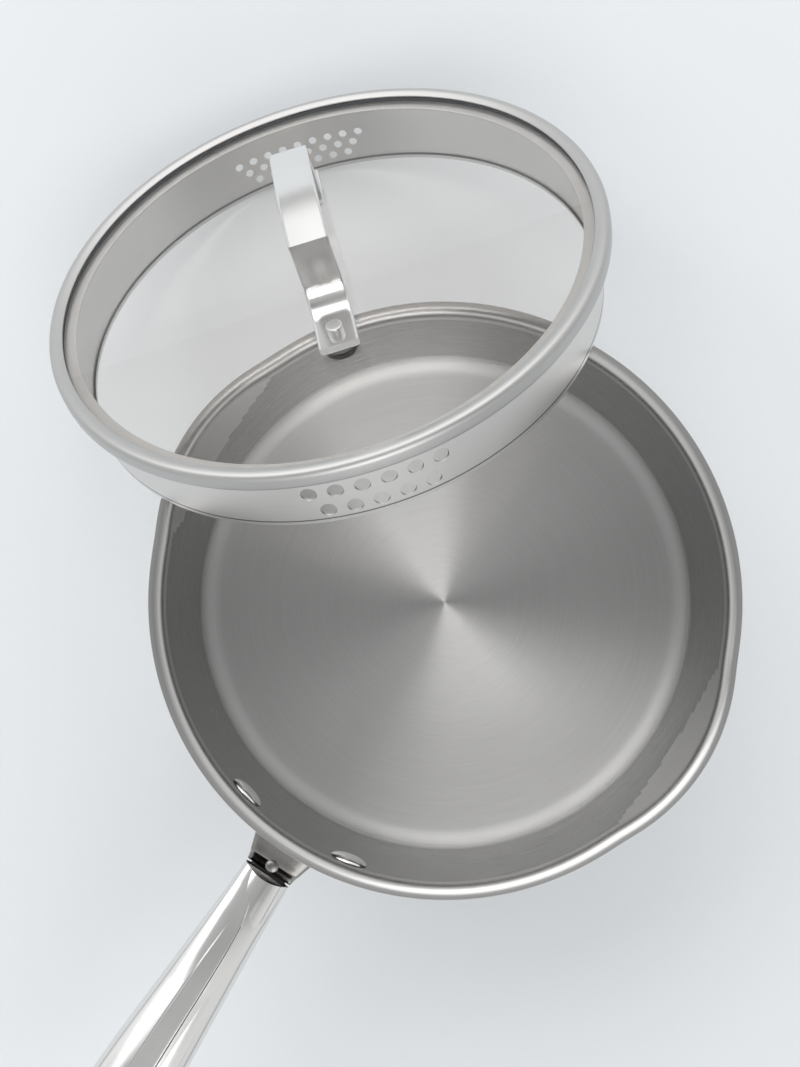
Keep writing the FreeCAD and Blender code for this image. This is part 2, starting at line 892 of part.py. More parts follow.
def check(pieces):
    document.recompute()
    for thing in document.Objects:
        if "Invalid" in thing.State or "Error" in thing.State:
            raise ValueError(f"{thing.Label} failed: {thing.State}")
    for piece in pieces:
        if piece.Shape.isNull() or not piece.Shape.isValid():
            raise ValueError(f"{piece.Label} has no valid shape")


def main():
    pieces = pan_pieces() + lid_pieces()
    check(pieces)
    os.makedirs("parts", exist_ok=True)
    for piece in pieces:
        piece.Shape.exportStep(os.path.join("parts", f"{piece.Label}.step"))
        box = piece.Shape.BoundBox
        print(f"{piece.Label:22s} solids {len(piece.Shape.Solids)} volume {piece.Shape.Volume:10.1f} "
              f"z {box.ZMin:7.2f} {box.ZMax:7.2f}")


main()
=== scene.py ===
"""Looks of a stainless saucepan whose straining glass lid leans on its rim.

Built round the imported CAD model: the pan stands on Z = 0 with its long handle along +X.
Lengths below are millimetres and become metres when a mesh is made.
"""
import json
import math

import bmesh
import bpy
import numpy as np
from mathutils import Matrix, Vector


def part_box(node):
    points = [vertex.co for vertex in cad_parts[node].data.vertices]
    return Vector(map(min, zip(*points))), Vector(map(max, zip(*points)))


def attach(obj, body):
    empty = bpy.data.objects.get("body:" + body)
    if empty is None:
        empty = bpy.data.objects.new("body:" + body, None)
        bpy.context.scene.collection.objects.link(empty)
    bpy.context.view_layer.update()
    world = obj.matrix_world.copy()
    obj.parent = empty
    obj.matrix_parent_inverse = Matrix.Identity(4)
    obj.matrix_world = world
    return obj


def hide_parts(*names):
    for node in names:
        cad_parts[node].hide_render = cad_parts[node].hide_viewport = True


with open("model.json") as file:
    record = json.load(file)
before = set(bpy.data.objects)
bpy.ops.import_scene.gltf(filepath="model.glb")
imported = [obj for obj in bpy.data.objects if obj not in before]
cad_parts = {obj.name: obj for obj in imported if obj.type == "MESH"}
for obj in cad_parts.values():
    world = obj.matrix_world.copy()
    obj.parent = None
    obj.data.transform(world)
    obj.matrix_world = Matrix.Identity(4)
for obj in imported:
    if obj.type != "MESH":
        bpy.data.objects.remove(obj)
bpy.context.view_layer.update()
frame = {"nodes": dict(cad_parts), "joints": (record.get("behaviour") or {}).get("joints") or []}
MM = 0.001
WELD = 0.00001

# pan
PAN_RADIUS = 100.0
PAN_TOP = 98.2
PAN_SHEET = 1.0
FLOOR_TOP = 6.2
FLOOR_FILLET = 7.5
LIP_REACH = 5.6
SPOUT_OFFSET = 36.7
SPOUT_LOW = 60.0
SPOUT_MOUTH = PAN_RADIUS + 3.4 - SPOUT_OFFSET
SPOUT_THROAT = PAN_RADIUS - 0.6 - SPOUT_OFFSET
BASE_RADIUS = 89.7
# handle
RIVET_ANGLE = math.radians(12.75)
RIVET_LEVEL = 86.0
FLANGE_LOW = 75.0
FLANGE_HIGH = 92.6
FLANGE_BEND = PAN_RADIUS + 2.0
FLANGE_FACE = PAN_RADIUS + PAN_SHEET + 2.05
GRIP_START = 117.9
GRIP_LEVEL = 83.2
GRIP_SLOPE = math.radians(5.7)
GRIP_SPAN = 180.0
HANG_PLACE = 165.0
HANG_RADIUS = 5.0
# lid, in its own frame: the underside of the ring at height 0
RING_RADIUS = 106.1
RING_DEPTH = 6.6
GLASS_TOP = 5.3
BAND_RADIUS = 99.6
BAND_DEPTH = 25.0
STRAP_HALF = 7.25
STRAP_SHEET = 3.0
STUD_PLACE = 44.5


# ------------------------------------------------------------------ mesh tools

def make_object(name, points, faces, material, sharp=35.0):
    """A smooth-shaded mesh object from millimetre points; edges over the sharp angle stay crisp."""
    mesh = bpy.data.meshes.new(name)
    mesh.from_pydata([tuple(float(c) * MM for c in point) for point in points], [], faces)
    mesh.validate()
    mesh.update()
    mesh.shade_smooth()
    mesh.set_sharp_from_angle(angle=math.radians(sharp))
    mesh.materials.append(material)
    piece = bpy.data.objects.new(name, mesh)
    bpy.context.scene.collection.objects.link(piece)
    return piece


def rounded(corners, steps=8):
    """Points along straight runs whose corners (x, y, radius) are rounded."""
    path = []
    for index, corner in enumerate(corners):
        here = np.array(corner[:2], float)
        radius = corner[2] if len(corner) > 2 else 0.0
        if radius <= 0.0:
            path.append(here)
            continue
        before = np.array(corners[index - 1][:2], float) - here
        after = np.array(corners[(index + 1) % len(corners)][:2], float) - here
        before /= np.linalg.norm(before)
        after /= np.linalg.norm(after)
        half = math.acos(np.clip(np.dot(before, after), -1.0, 1.0)) / 2.0
        reach = radius / math.tan(half)
        bisector = before + after
        centre = here + bisector / np.linalg.norm(bisector) * radius / math.sin(half)
        start, end = here + before * reach - centre, here + after * reach - centre
        first = math.atan2(start[1], start[0])
        sweep = (math.atan2(end[1], end[0]) - first + math.pi) % (2.0 * math.pi) - math.pi
        for step in range(steps + 1):
            angle = first + sweep * step / steps
            path.append(centre + radius * np.array([math.cos(angle), math.sin(angle)]))
    return path


def divided(path, longest):
    """The same path with long runs cut into parts no longer than asked."""
    result = []
    for start, end in zip(path, path[1:]):
        parts = max(1, math.ceil(np.linalg.norm(np.subtract(end, start)) / longest))
        result += [start + (end - start) * part / parts for part in range(parts)]
    result.append(path[-1])
    return result


def ring_faces(rows, columns, closed_rows=False):
    """Quads of a grid whose columns close round; its rows close too when asked."""
    faces = []
    for row in range(rows if closed_rows else rows - 1):
        following = (row + 1) % rows
        for column in range(columns):
            across = (column + 1) % columns
            faces.append((row * columns + column, row * columns + across,
                          following * columns + across, following * columns + column))
    return faces


def revolved(name, profile, material, turns=192, closed=False, shape=None, sharp=35.0):
    """Turn a profile of (radius, height) about Z. Ends at radius 0 close with a fan."""
    points = []
    angles = [2.0 * math.pi * turn / turns for turn in range(turns)]
    open_ends = [point[0] <= 1e-6 for point in (profile[0], profile[-1])]
    body = profile[1 if open_ends[0] else 0:len(profile) - 1 if open_ends[1] else len(profile)]
    for radius, height in body:
        for angle in angles:
            reach = shape(radius, height, angle) if shape else radius
            points.append((reach * math.cos(angle), reach * math.sin(angle), height))
    faces = ring_faces(len(body), turns, closed)
    if open_ends[0]:
        points.append((0.0, 0.0, profile[0][1]))
        hub = len(points) - 1
        faces += [(hub, (turn + 1) % turns, turn) for turn in range(turns)]
    if open_ends[1]:
        points.append((0.0, 0.0, profile[-1][1]))
        hub, last = len(points) - 1, (len(body) - 1) * turns
        faces += [(hub, last + turn, last + (turn + 1) % turns) for turn in range(turns)]
    return make_object(name, points, faces, material, sharp)


def outward(piece):
    """Weld the mesh and make every face look outwards."""
    work = bmesh.new()
    work.from_mesh(piece.data)
    bmesh.ops.remove_doubles(work, verts=work.verts, dist=WELD)
    bmesh.ops.recalc_face_normals(work, faces=work.faces)
    if work.calc_volume(signed=True) < 0.0:
        bmesh.ops.reverse_faces(work, faces=work.faces)
    work.to_mesh(piece.data)
    work.free()
    return piece


def moved(piece, matrix):
    """The piece with its mesh carried to another place."""
    piece.data.transform(matrix)
    return piece


def combined(piece, tool, operation):
    """Join or cut one mesh with another and keep only the result."""
    change = piece.modifiers.new("combine", "BOOLEAN")
    change.operation = operation
    change.solver = "MANIFOLD"
    change.object = tool
    bpy.context.view_layer.update()
    result = bpy.data.meshes.new_from_object(
        piece.evaluated_get(bpy.context.evaluated_depsgraph_get()))
    piece.modifiers.clear()
    piece.data = result
    bpy.data.objects.remove(tool)
    return piece


def capped(faces, rows, columns):
    """The faces of an open tube of rows, with a face across either end."""
    last = (rows - 1) * columns
    start = tuple(range(columns))
    end = tuple(last + column for column in range(columns))[::-1]
    return faces + [start, end]


def with_finish(piece, material, chosen):
    """Give a further material to the faces for which chosen(face) is true."""
    piece.data.materials.append(material)
    for face in piece.data.polygons:
        if chosen(face):
            face.material_index = len(piece.data.materials) - 1
    return piece


def crisp(piece, angle):
    """Smooth shading again, with the edges over the angle sharp."""
    piece.data.shade_smooth()
    piece.data.set_sharp_from_angle(angle=math.radians(angle))


def place(piece, body, slot, *nodes):
    """Put the piece on the body that carries it and hide the CAD nodes it stands for; slot, the
    name of its finish, is not used.
    """
    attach(piece, body)
    if nodes:
        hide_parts(*nodes)
    return piece


# ------------------------------------------------------------------- materials

class Nodes:
    """Short way to add and join the nodes of one material."""

    def __init__(self, name):
        self.material = bpy.data.materials.new(name)
        self.material.use_nodes = True
        self.tree = self.material.node_tree
        self.shader = self.tree.nodes["Principled BSDF"]

    @classmethod
    def of_tree(cls, tree):
        """The same short way for a node tree that isn't a material's."""
        nodes = cls.__new__(cls)
        nodes.tree = tree
        return nodes

    def add(self, kind, **settings):
        node = self.tree.nodes.new(kind)
        for key, value in settings.items():
            setattr(node, key, value)
        return node

    def join(self, source, target):
        self.tree.links.new(source, target)

    def maths(self, operation, first, second=None):
        node = self.add("ShaderNodeMath", operation=operation)
        for socket, value in zip(node.inputs, (first, second)):
            if value is None:
                continue
            if isinstance(value, (int, float)):
                socket.default_value = value
            else:
                self.join(value, socket)
        return node.outputs[0]

    def noise(self, vector, scale, detail=2.0, roughness=0.5):
        node = self.add("ShaderNodeTexNoise")
        node.inputs["Scale"].default_value = scale
        node.inputs["Detail"].default_value = detail
        node.inputs["Roughness"].default_value = roughness
        self.join(vector, node.inputs["Vector"])
        return node.outputs["Fac"]

    def spread(self, value, low, high, start=0.0, end=1.0, kind="LINEAR"):
        """Map the range start..end to low..high."""
        node = self.add("ShaderNodeMapRange", interpolation_type=kind)
        node.inputs["From Min"].default_value = start
        node.inputs["From Max"].default_value = end
        node.inputs["To Min"].default_value = low
        node.inputs["To Max"].default_value = high
        self.join(value, node.inputs["Value"])
        return node.outputs["Result"]

    def bump(self, height, strength, distance, below=None):
        node = self.add("ShaderNodeBump")
        node.inputs["Strength"].default_value = strength
        node.inputs["Distance"].default_value = distance
        self.join(height, node.inputs["Height"])
        if below is not None:
            self.join(below, node.inputs["Normal"])
        return node.outputs["Normal"]

    def tint(self, value, low, high):
        """Blend between two colours by a value of 0..1."""
        node = self.add("ShaderNodeMix", data_type="RGBA")
        node.inputs["A"].default_value = (*low, 1.0)
        node.inputs["B"].default_value = (*high, 1.0)
        self.join(value, node.inputs["Factor"])
        return node.outputs["Result"]

    def darkened(self, colour, amount):
        """The colour, taken towards black by an amount of 0..1."""
        node = self.add("ShaderNodeMix", data_type="RGBA")
        node.inputs["B"].default_value = (0.0, 0.0, 0.0, 1.0)
        self.join(colour, node.inputs["A"])
        self.join(amount, node.inputs["Factor"])
        return node.outputs["Result"]

    def line(self, height, where, width):
        """Strong at a height, falling to 0 a half width away, both in millimetres."""
        away = self.maths("ABSOLUTE", self.maths("SUBTRACT", height, where * MM))
        return self.spread(away, 0.88, 0.0, 0.0, width * MM, "SMOOTHSTEP")

    def split(self, vector):
        """The X, Y and Z of a vector."""
        node = self.add("ShaderNodeSeparateXYZ")
        self.join(vector, node.inputs["Vector"])
        return node.outputs

    def product(self, first, second):
        return self.maths("MULTIPLY", first, second)

    def coordinates(self):
        return self.add("ShaderNodeTexCoord").outputs["Object"]

    def set(self, **values):
        for key, value in values.items():
            self.shader.inputs[key.replace("_", " ")].default_value = value


def turned_place(nodes, matrix):
    """X, Y, height and distance from the axis, in the frame of a turned part."""
    mapping = nodes.add("ShaderNodeMapping", vector_type="TEXTURE")
    mapping.inputs["Location"].default_value = matrix.to_translation()
    mapping.inputs["Rotation"].default_value = matrix.to_euler()
    nodes.join(nodes.coordinates(), mapping.inputs["Vector"])
    x, y, z = nodes.split(mapping.outputs["Vector"])
    radius = nodes.maths("SQRT", nodes.maths("ADD", nodes.product(x, x), nodes.product(y, y)))
    return x, y, z, radius


def turned_streaks(nodes, matrix, fineness, length):
    """Noise drawn out along circles about the axis of a turned part."""
    x, y, z, radius = turned_place(nodes, matrix)
    safe = nodes.maths("MAXIMUM", radius, 0.0005)
    join = nodes.add("ShaderNodeCombineXYZ")
    nodes.join(nodes.product(nodes.maths("DIVIDE", x, safe), length), join.inputs["X"])
    nodes.join(nodes.product(nodes.maths("DIVIDE", y, safe), length), join.inputs["Y"])
    nodes.join(nodes.product(nodes.maths("ADD", radius, z), fineness), join.inputs["Z"])
    return join.outputs["Vector"]


def brushed_steel(name, colour, roughness, stretch, streak, matrix=None, turned=True, wall=None,
                  painted_shade_lines=()):
    """Steel with fine circular brushing: drawn-out scratches and a drawn-out highlight.

    With wall given, the brushing turns to that roughness above the fillet of the pan, and the wall
    gets painted shade that deepens over the top of the fillet. Each line is painted shade round the
    lid's band, under the ring and along the hem, at a height and of a half width in millimetres;
    a band with lines also gets painted shade on its inner side.
    """
    nodes = Nodes(name)
    matrix = matrix or Matrix.Identity(4)
    fine = nodes.noise(turned_streaks(nodes, matrix, 3200.0, 3.5), 1.0, 3.0, 0.65)
    coarse = nodes.noise(turned_streaks(nodes, matrix, 900.0, 2.0), 1.0, 2.0)
    cloud = nodes.noise(nodes.coordinates(), 14.0, 2.0)
    nodes.set(Metallic=1.0, Anisotropic=stretch, Anisotropic_Rotation=0.25)
    dark = tuple(c * (1.0 - streak) for c in colour)
    light = tuple(min(1.0, c * (1.0 + streak)) for c in colour)
    mixed = nodes.maths("ADD", nodes.product(fine, 0.7), nodes.product(coarse, 0.3))
    shade = nodes.tint(mixed, dark, light)
    if painted_shade_lines:
        height, radius = turned_place(nodes, matrix)[2:]
        # painted shade: dark lines where the ring overhangs the band and along the hem
        for where, width in painted_shade_lines:
            shade = nodes.darkened(shade, nodes.line(height, where, width))
        # painted shade: the band's inner side is darkened, standing in for the shade inside the
        # band
        inside = nodes.maths("LESS_THAN", radius, (BAND_RADIUS - 0.3) * MM)
        shade = nodes.darkened(shade, nodes.product(inside, 0.16))
    base = nodes.spread(fine, roughness * 0.85, roughness * 1.1)
    if wall is not None:
        height = nodes.split(nodes.coordinates())["Z"]
        share = nodes.spread(height, 1.0, wall / roughness, (FLOOR_TOP + 1.5) * MM,
                             (FLOOR_TOP + 5.0) * MM, "SMOOTHSTEP")
        base = nodes.product(base, share)
        # painted shade: the wall darkens upwards over the top of the fillet
        painted_wall_shade = nodes.spread(height, 0.0, 0.48, (FLOOR_TOP + 4.0) * MM,
                             (FLOOR_TOP + FLOOR_FILLET + 2.0) * MM, "SMOOTHSTEP")
        shade = nodes.darkened(shade, painted_wall_shade)
    nodes.join(shade, nodes.shader.inputs["Base Color"])
    rough = nodes.maths("ADD", base, nodes.spread(cloud, -0.01, 0.02))
    nodes.join(rough, nodes.shader.inputs["Roughness"])
    nodes.join(nodes.bump(fine, 0.09, 0.00004, nodes.bump(coarse, 0.02, 0.0001)),
               nodes.shader.inputs["Normal"])
    if turned:
        tangent = nodes.add("ShaderNodeTangent", direction_type="RADIAL", axis="Z")
        nodes.join(tangent.outputs["Tangent"], nodes.shader.inputs["Tangent"])
    return nodes.material


def polished_steel(name, colour, roughness):
    """Mirror steel with a slight waviness, hairline scratches and faint wipe marks."""
    nodes = Nodes(name)
    place_in = nodes.coordinates()
    stretched = nodes.add("ShaderNodeMapping")
    stretched.inputs["Scale"].default_value = (20.0, 900.0, 900.0)
    nodes.join(place_in, stretched.inputs["Vector"])
    hair = nodes.noise(stretched.outputs["Vector"], 1.0, 3.0, 0.6)
    wipe = nodes.noise(place_in, 45.0, 3.0)
    slow = nodes.noise(place_in, 24.0, 1.0)
    nodes.set(Metallic=1.0)
    nodes.join(nodes.tint(wipe, tuple(c * 0.97 for c in colour), colour),
               nodes.shader.inputs["Base Color"])
    rough = nodes.maths("ADD", nodes.spread(hair, roughness * 0.8, roughness * 1.2),
                        nodes.spread(wipe, 0.0, 0.02))
    nodes.join(rough, nodes.shader.inputs["Roughness"])
    nodes.join(nodes.bump(hair, 0.03, 0.00002, nodes.bump(slow, 0.02, 0.002)),
               nodes.shader.inputs["Normal"])
    return nodes.material


def silicone(name, colour, roughness, light=0.0):
    """Moulded silicone with a fine grain; light above 0 lets some light through."""
    nodes = Nodes(name)
    grain = nodes.noise(nodes.coordinates(), 1400.0, 2.0)
    nodes.set(Transmission_Weight=light, IOR=1.41, Specular_IOR_Level=0.5 if light else 0.2)
    nodes.join(nodes.tint(grain, tuple(c * 0.85 for c in colour), colour),
               nodes.shader.inputs["Base Color"])
    nodes.join(nodes.spread(grain, roughness * 0.85, roughness * 1.15),
               nodes.shader.inputs["Roughness"])
    nodes.join(nodes.bump(grain, 0.08, 0.00005), nodes.shader.inputs["Normal"])
    return nodes.material


def clear_glass(name):
    """Clear float glass with a faint warm body and a trace of waviness; it casts no shadow."""
    nodes = Nodes(name)
    slow = nodes.noise(nodes.coordinates(), 9.0, 1.0)
    nodes.set(Transmission_Weight=1.0, IOR=1.5, Roughness=0.0)
    nodes.join(nodes.tint(slow, (0.985, 0.967, 0.952), (0.995, 0.977, 0.962)),
               nodes.shader.inputs["Base Color"])
    nodes.join(nodes.bump(slow, 0.01, 0.001), nodes.shader.inputs["Normal"])
    clear = nodes.add("ShaderNodeBsdfTransparent")
    clear.inputs["Color"].default_value = (1.0, 0.995, 0.985, 1.0)
    path = nodes.add("ShaderNodeLightPath")
    mix = nodes.add("ShaderNodeMixShader")
    nodes.join(path.outputs["Is Shadow Ray"], mix.inputs["Fac"])
    nodes.join(nodes.shader.outputs["BSDF"], mix.inputs[1])
    nodes.join(clear.outputs["BSDF"], mix.inputs[2])
    nodes.join(mix.outputs["Shader"], nodes.tree.nodes["Material Output"].inputs["Surface"])
    return nodes.material


def table_top(name):
    """Pale matt card with a barely visible tooth."""
    nodes = Nodes(name)
    tooth = nodes.noise(nodes.coordinates(), 600.0, 2.0)
    nodes.join(nodes.tint(tooth, (0.775, 0.805, 0.828), (0.795, 0.825, 0.848)),
               nodes.shader.inputs["Base Color"])
    nodes.set(Roughness=0.6, Specular_IOR_Level=0.2)
    return nodes.material


# ------------------------------------------------------------------- the lid's frame

def lid_matrix():
    """The lid's own frame in metres: its axis from the joint, its X along the strap's studs."""
    turn = next(joint for joint in frame["joints"] if joint["name"] == "lid_turn")
    up = Vector(turn["axis"]).normalized()
    near, far = (sum((Vector(c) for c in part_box(f"lid_stud_{end}")), Vector()) / 2.0
                 for end in ("near", "far"))
    along = far - near
    along = (along - up * along.dot(up)).normalized()
    across = up.cross(along)
    rotation = Matrix((along, across, up)).transposed()
    return Matrix.Translation(Vector(turn["pos_m"])) @ rotation.to_4x4()


LID = lid_matrix()
GRIP = (Matrix.Translation(Vector((GRIP_START, 0.0, GRIP_LEVEL)) * MM)
        @ Matrix.Rotation(-GRIP_SLOPE, 4, "Y"))

# wall=0.27 also paints shade onto the wall above the fillet
PAN_STEEL = brushed_steel("pan_brushed_steel", (0.69, 0.688, 0.684), 0.42, 0.97, 0.13, wall=0.27)
LIP_STEEL = brushed_steel("lip_satin_steel", (0.55, 0.547, 0.54), 0.25, 0.3, 0.05)
RING_STEEL = brushed_steel("ring_rolled_steel", (0.52, 0.517, 0.51), 0.42, 0.3, 0.03, LID, False)
# the band gets painted shade lines under the ring and above the hem, and painted shade on its inner
# side
BAND_STEEL = brushed_steel("band_rolled_steel", (0.70, 0.688, 0.671), 0.30, 0.3, 0.05, LID, False,
                           painted_shade_lines=((-0.35, 0.9), (1.7 - BAND_DEPTH, 0.5)))
GRIP_STEEL = polished_steel("grip_polished_steel", (0.80, 0.797, 0.79), 0.17)
# near-black steel that paints shade into the grip's creases and into the mouth of the grip and the
# bracket
PAINTED_SHADE_STEEL = polished_steel("painted_shade_steel", (0.045, 0.044, 0.042), 0.35)
RIVET_STEEL = polished_steel("rivet_mirror_steel", (0.94, 0.935, 0.925), 0.05)
# satin steel, darkened below real steel as painted shade for the neck and pin by the grip's mouth;
# the flange shares it
SHADED_BRACKET_STEEL = polished_steel("bracket_satin_steel_painted_shade", (0.28, 0.272, 0.26), 0.27)
STRAP_STEEL = polished_steel("strap_mirror_steel", (0.80, 0.795, 0.785), 0.17)
STUD_STEEL = polished_steel("stud_satin_steel", (0.75, 0.745, 0.73), 0.30)
CORE_ALUMINIUM = brushed_steel("core_aluminium", (0.78, 0.79, 0.80), 0.42, 0.2, 0.06)
BLACK = silicone("black_silicone", (0.008, 0.008, 0.009), 0.6)
GREY = silicone("grey_silicone", (0.13, 0.13, 0.128), 0.5)
MILKY = silicone("clear_silicone", (0.50, 0.50, 0.48), 0.25, 0.6)
GLASS = clear_glass("clear_glass")


# ------------------------------------------------------------------------- pan

def spout_reach(radius, height, angle):
    """Radius of the wall in one direction: round, or further out where a spout bulges.

    A spout is part of a cone whose axis stands SPOUT_OFFSET to the side; soft rounds the edge
    where it leaves the wall.
    """
    if height <= SPOUT_LOW:
        return radius
    share = min(1.0, (height - SPOUT_LOW) / (PAN_TOP - LIP_REACH - SPOUT_LOW))
    spout = SPOUT_THROAT + (SPOUT_MOUTH - SPOUT_THROAT) * share + radius - PAN_RADIUS
    side = abs(math.sin(angle)) * SPOUT_OFFSET
    forward = math.cos(angle) * SPOUT_OFFSET
    bulge = side + math.sqrt(max(spout * spout - forward * forward, 0.0))
    soft = 0.9
    gap = bulge - radius
    return radius + 0.5 * (gap + math.sqrt(gap * gap + soft * soft)) - 0.02


def pan_shell():
    """Floor, fillet, wall and flared lip, inside and outside, as one closed shell."""
    inner = rounded([
        (0.0, FLOOR_TOP),
        (PAN_RADIUS, FLOOR_TOP, FLOOR_FILLET),
        (PAN_RADIUS, PAN_TOP, LIP_REACH - 0.2),
        (PAN_RADIUS + LIP_REACH, PAN_TOP, 0.45),
        (PAN_RADIUS + LIP_REACH, PAN_TOP - PAN_SHEET, 0.45),
        (PAN_RADIUS + PAN_SHEET, PAN_TOP - PAN_SHEET, LIP_REACH - PAN_SHEET - 0.5),
        (PAN_RADIUS + PAN_SHEET, FLOOR_TOP - PAN_SHEET, FLOOR_FILLET + PAN_SHEET),
        (0.0, FLOOR_TOP - PAN_SHEET),
    ])
    profile = divided(inner, 4.0)
    shell = revolved("pan_shell", profile, PAN_STEEL, 288, shape=spout_reach)
    shell.data.use_auto_texspace = False
    shell.data.texspace_location = (0.0, 0.0, 0.05)
    shell.data.texspace_size = (0.11, 0.11, 0.11)
    lip_low = (PAN_TOP - LIP_REACH) * MM
    middle = (PAN_RADIUS + PAN_SHEET / 2.0) * MM
    with_finish(shell, LIP_STEEL, lambda face: face.center.z > lip_low
                or math.hypot(face.center.x, face.center.y) > middle)
    return place(outward(shell), "pan", "satin_steel", "pan_body")


def base_cup():
    """Pressed cup under the pan, with a shallow turned recess on its underside."""
    high = FLOOR_TOP - PAN_SHEET
    profile = rounded([
        (0.0, 0.25),
        (62.0, 0.25, 0.2),
        (62.4, 0.0, 0.2),
        (BASE_RADIUS, 0.0, 1.5),
        (BASE_RADIUS, high, 0.15),
        (BASE_RADIUS - 0.7, high, 0.15),
        (BASE_RADIUS - 0.7, 0.7, 0.8),
        (0.0, 0.7),
    ], 5)
    cap = revolved("base_cup", divided(profile, 5.0), LIP_STEEL, 256)
    place(outward(cap), "pan", "satin_steel", "base_cap")


# ---------------------------------------------------------------------- handle

GRIP_STATIONS = (0.0, 18.0, 48.0, 84.0, 125.0, 180.0)
GRIP_WIDTHS = (9.0, 10.2, 12.2, 14.5, 15.4, 13.2)
GRIP_HEIGHTS = (6.4, 7.0, 8.0, 8.7, 8.4, 6.4)
NOSE = 14.0


def smooth_curve(places, values, where):
    """Value of the smooth curve (monotone cubic) through the given stations."""
    places, values = np.array(places, float), np.array(values, float)
    steps = np.diff(places)
    slopes = np.diff(values) / steps
    tangents = np.zeros(len(values))
    tangents[0], tangents[-1] = slopes[0], slopes[-1]
    for index in range(1, len(values) - 1):
        if slopes[index - 1] * slopes[index] > 0.0:
            tangents[index] = 2.0 / (1.0 / slopes[index - 1] + 1.0 / slopes[index])
    index = int(np.clip(np.searchsorted(places, where) - 1, 0, len(steps) - 1))
    t = (where - places[index]) / steps[index]
    return ((2 * t ** 3 - 3 * t ** 2 + 1) * values[index]
            + (t ** 3 - 2 * t ** 2 + t) * steps[index] * tangents[index]
            + (3 * t ** 2 - 2 * t ** 3) * values[index + 1]
            + (t ** 3 - t ** 2) * steps[index] * tangents[index + 1])


def grip_size(where):
    """Half width and half height of the grip, drawn in to a round nose at its far end."""
    wide = smooth_curve(GRIP_STATIONS, GRIP_WIDTHS, where)
    tall = smooth_curve(GRIP_STATIONS, GRIP_HEIGHTS, where)
    nose = max(0.0, (where - (GRIP_SPAN - NOSE)) / NOSE)
    wide *= math.sqrt(max(1.0 - nose ** 2.2, 0.0))
    last = max(0.0, (where - (GRIP_SPAN - 5.0)) / 5.0)
    tall *= 0.35 + 0.65 * math.sqrt(max(1.0 - last ** 2.0, 0.0))
    return max(wide, 0.05), tall


RIDGE_DIP = 1.9
RIDGE_DIP_END = 34.0
EDGE_POWER = 2.8
BACK_POWER = 2.3
GRIP_SHEET = 1.0
HOLLOW_END = 125.0
MOUTH_CURVE = 2.2
RIDGE_PLACES = (0.0, 4.6, 8.6, 14.2, 21.0, 36.0, 60.0, 90.0, 130.0, 180.0)
RIGHT_RIDGE = (-4.2, -3.5, -0.9, 1.0, 2.5, 3.3, 3.7, 4.1, 4.3, 3.4)
LEFT_RIDGE = (-4.6, -4.4, -3.3, -2.6, -2.3, -3.0, -3.8, -4.2, -4.3, -3.4)


def side_fall(share, slope):
    """Height share from a ridge (0) out to the edge (1): part straight slope, part round."""
    round_part = max(1.0 - share ** EDGE_POWER, 0.0) ** (1.0 / EDGE_POWER)
    return slope * (1.0 - share) + (1.0 - slope) * round_part


def top_height(y, where, wide, tall, left, right):
    """Height of the grip's upper side: two falling sides and a strip between two ridges.

    The right ridge has its crease from near the mouth on, the left one only further out.
    """
    late = min(max((where - 18.0) / 30.0, 0.0), 1.0)
    early = min(where / 8.0, 1.0)
    low = max(1.0 - where / RIDGE_DIP_END, 0.0)
    crest = 0.985 * tall - RIDGE_DIP * low * low
    right_crest = crest - late * 0.10 * (right - left)
    if y < left:
        height = crest * side_fall((left - y) / (wide + left), 0.30 * late)
    elif y > right:
        height = right_crest * side_fall((y - right) / (wide - right), 0.45)
    else:
        height = crest + (right_crest - crest) * (y - left) / max(right - left, 1e-3)
    groove = early * math.exp(-((y - right) / 0.17) ** 2)
    groove += late * math.exp(-((y - left) / 0.15) ** 2)
    return height - 0.30 * groove


def low_height(y, wide, tall):
    """Height of a plainly rounded side, as on the grip's underside and its inner wall."""
    return tall * max(1.0 - abs(y / wide) ** BACK_POWER, 0.0) ** (1.0 / BACK_POWER)


def grip_outer(where, shares, upper):
    """Outer outline (y, height) of one half at one station, finely divided at the ridges."""
    wide, tall = grip_size(where)
    if not upper:
        return [(share * wide, low_height(share * wide, wide, tall)) for share in shares]
    left = smooth_curve(RIDGE_PLACES, LEFT_RIDGE, where)
    right = smooth_curve(RIDGE_PLACES, RIGHT_RIDGE, where)
    near_ridge = (-0.5, -0.3, -0.16, -0.08, 0.0, 0.08, 0.16, 0.3, 0.5)
    fine = [ridge + step for ridge in (left, right) for step in near_ridge]
    across = [min(max(y, -wide), wide) for y in sorted(list(shares * wide) + fine)]
    return [(y, top_height(y, where, wide, tall, left, right)) for y in across]


def grip_inner(where, shares, hollow):
    """Inner outline of one half: the hollow's wall, or the flat seam where the end is solid."""
    wide, tall = grip_size(where)
    return [(share * (wide - GRIP_SHEET),
             low_height(share, 1.0, tall - GRIP_SHEET) if hollow else 0.0)
            for share in shares[::-1]]


def creased(face):
    """Whether a face of the upper half lies in one of the two creases that get painted shade."""
    where, y = face.center.x / MM, face.center.y / MM
    if face.normal.z < 0.1 or where > 150.0:
        return False
    for ridge, start, half_width in ((RIGHT_RIDGE, 20.0, 0.15), (LEFT_RIDGE, 40.0, 0.11)):
        if where > start and abs(y - smooth_curve(RIDGE_PLACES, ridge, where)) < half_width:
            return True
    return False


def hanging_cut():
    """Tool for the hanging hole, with a wide rounded edge above and below."""
    reach, flare = HANG_RADIUS + 6.0, 12.0
    tool = revolved("hanging_cut", rounded([
        (0.0, -flare), (reach, -flare), (HANG_RADIUS, -5.0, 6.0),
        (HANG_RADIUS, 5.0, 6.0), (reach, flare), (0.0, flare)], 10), GRIP_STEEL, 64)
    return moved(outward(tool), Matrix.Translation((HANG_PLACE * MM, 0.0, 0.0)))


